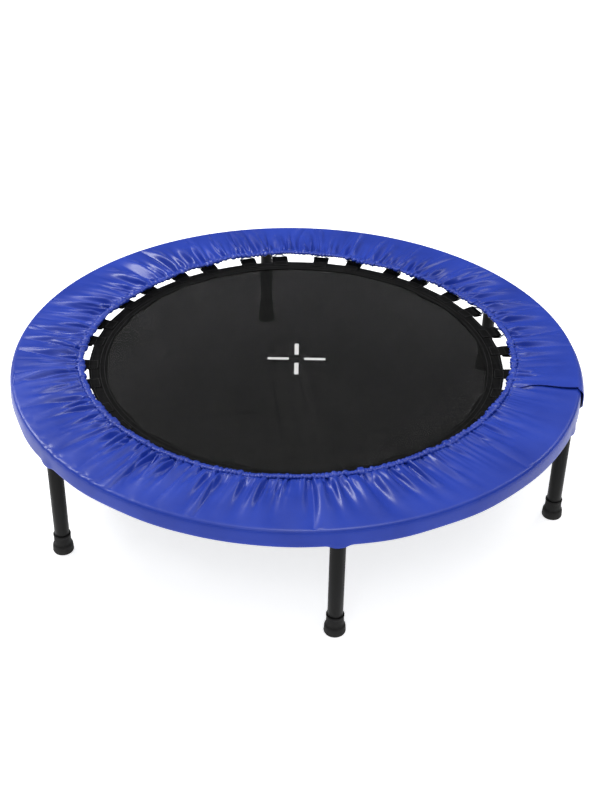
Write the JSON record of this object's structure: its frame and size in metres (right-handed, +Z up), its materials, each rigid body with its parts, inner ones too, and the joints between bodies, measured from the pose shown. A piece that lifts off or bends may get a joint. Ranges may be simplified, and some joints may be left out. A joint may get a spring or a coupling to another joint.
{
  "type": "mini trampoline",
  "caption": "Low round fitness trampoline: black woven mat sprung inside a steel tube ring, blue padded spring cover, screw-on tube legs with rubber feet.",
  "frame": {"origin": "on the floor, under the middle of the mat", "axes": "+Z up; -Y through leg 1, the leg nearest the viewer; the legs stand every sixty degrees, numbered anticlockwise seen from above"},
  "size_m": [1.018, 1.0214, 0.2212],
  "materials": {
    "cover_vinyl": "glossy vinyl-coated fabric, bright blue",
    "mat_weave": "woven polypropylene, black",
    "webbing": "woven webbing, black",
    "frame_paint": "satin black paint",
    "zinc": "zinc plated",
    "foot_rubber": "moulded black rubber"
  },
  "bodies": {
    "frame": {"frame_ring": "frame_paint", "cover": "cover_vinyl", "leg_stud_1": "frame_paint", "leg_stud_2": "frame_paint", "leg_stud_3": "frame_paint", "leg_stud_4": "frame_paint", "leg_stud_5": "frame_paint", "leg_stud_6": "frame_paint", "spring_01": "zinc", "spring_02": "zinc", "spring_03": "zinc", "spring_04": "zinc", "spring_05": "zinc", "spring_06": "zinc", "spring_07": "zinc", "spring_08": "zinc", "spring_09": "zinc", "spring_10": "zinc", "spring_11": "zinc", "spring_12": "zinc", "spring_13": "zinc", "spring_14": "zinc", "spring_15": "zinc", "spring_16": "zinc", "spring_17": "zinc", "spring_18": "zinc", "spring_19": "zinc", "spring_20": "zinc", "spring_21": "zinc", "spring_22": "zinc", "spring_23": "zinc", "spring_24": "zinc", "spring_25": "zinc", "spring_26": "zinc", "spring_27": "zinc", "spring_28": "zinc", "spring_29": "zinc", "spring_30": "zinc", "spring_31": "zinc", "spring_32": "zinc"},
    "bed": {"jump_mat": "mat_weave", "mat_border": "webbing"},
    "leg_1_nut": {"leg_washer_1": "zinc"},
    "leg_1": {"leg_tube_1": "frame_paint", "foot_1": "foot_rubber"},
    "leg_2_nut": {"leg_washer_2": "zinc"},
    "leg_2": {"leg_tube_2": "frame_paint", "foot_2": "foot_rubber"},
    "leg_3_nut": {"leg_washer_3": "zinc"},
    "leg_3": {"leg_tube_3": "frame_paint", "foot_3": "foot_rubber"},
    "leg_4_nut": {"leg_washer_4": "zinc"},
    "leg_4": {"leg_tube_4": "frame_paint", "foot_4": "foot_rubber"},
    "leg_5_nut": {"leg_washer_5": "zinc"},
    "leg_5": {"leg_tube_5": "frame_paint", "foot_5": "foot_rubber"},
    "leg_6_nut": {"leg_washer_6": "zinc"},
    "leg_6": {"leg_tube_6": "frame_paint", "foot_6": "foot_rubber"}
  },
  "joints": [
    {"name": "bed_bounce", "type": "slide", "parent": "frame", "child": "bed", "axis": [0, 0, -1], "range_m": [0, 0.08], "stiffness_N_per_m": 8000, "deforming": ["spring_01", "spring_02", "spring_03", "spring_04", "spring_05", "spring_06", "spring_07", "spring_08", "spring_09", "spring_10", "spring_11", "spring_12", "spring_13", "spring_14", "spring_15", "spring_16", "spring_17", "spring_18", "spring_19", "spring_20", "spring_21", "spring_22", "spring_23", "spring_24", "spring_25", "spring_26", "spring_27", "spring_28", "spring_29", "spring_30", "spring_31", "spring_32"]},
    {"name": "leg_1_drop", "type": "slide", "parent": "frame", "child": "leg_1_nut", "axis": [0, 0, -1], "range_m": [0, 0.015]},
    {"name": "leg_1_turn", "type": "hinge", "parent": "leg_1_nut", "child": "leg_1", "pos_m": [0, -0.493, 0.18], "axis": [0, 0, -1], "range_deg": [0, 3600]},
    {"name": "leg_2_drop", "type": "slide", "parent": "frame", "child": "leg_2_nut", "axis": [0, 0, -1], "range_m": [0, 0.015]},
    {"name": "leg_2_turn", "type": "hinge", "parent": "leg_2_nut", "child": "leg_2", "pos_m": [0.42695, -0.2465, 0.18], "axis": [0, 0, -1], "range_deg": [0, 3600]},
    {"name": "leg_3_drop", "type": "slide", "parent": "frame", "child": "leg_3_nut", "axis": [0, 0, -1], "range_m": [0, 0.015]},
    {"name": "leg_3_turn", "type": "hinge", "parent": "leg_3_nut", "child": "leg_3", "pos_m": [0.42695, 0.2465, 0.18], "axis": [0, 0, -1], "range_deg": [0, 3600]},
    {"name": "leg_4_drop", "type": "slide", "parent": "frame", "child": "leg_4_nut", "axis": [0, 0, -1], "range_m": [0, 0.015]},
    {"name": "leg_4_turn", "type": "hinge", "parent": "leg_4_nut", "child": "leg_4", "pos_m": [0, 0.493, 0.18], "axis": [0, 0, -1], "range_deg": [0, 3600]},
    {"name": "leg_5_drop", "type": "slide", "parent": "frame", "child": "leg_5_nut", "axis": [0, 0, -1], "range_m": [0, 0.015]},
    {"name": "leg_5_turn", "type": "hinge", "parent": "leg_5_nut", "child": "leg_5", "pos_m": [-0.42695, 0.2465, 0.18], "axis": [0, 0, -1], "range_deg": [0, 3600]},
    {"name": "leg_6_drop", "type": "slide", "parent": "frame", "child": "leg_6_nut", "axis": [0, 0, -1], "range_m": [0, 0.015]},
    {"name": "leg_6_turn", "type": "hinge", "parent": "leg_6_nut", "child": "leg_6", "pos_m": [-0.42695, -0.2465, 0.18], "axis": [0, 0, -1], "range_deg": [0, 3600]}
  ],
  "couplings": [
    {"joint": "leg_1_drop", "follows": "leg_1_turn", "m_per_rad": 0.0002387},
    {"joint": "leg_2_drop", "follows": "leg_2_turn", "m_per_rad": 0.0002387},
    {"joint": "leg_3_drop", "follows": "leg_3_turn", "m_per_rad": 0.0002387},
    {"joint": "leg_4_drop", "follows": "leg_4_turn", "m_per_rad": 0.0002387},
    {"joint": "leg_5_drop", "follows": "leg_5_turn", "m_per_rad": 0.0002387},
    {"joint": "leg_6_drop", "follows": "leg_6_turn", "m_per_rad": 0.0002387}
  ]
}
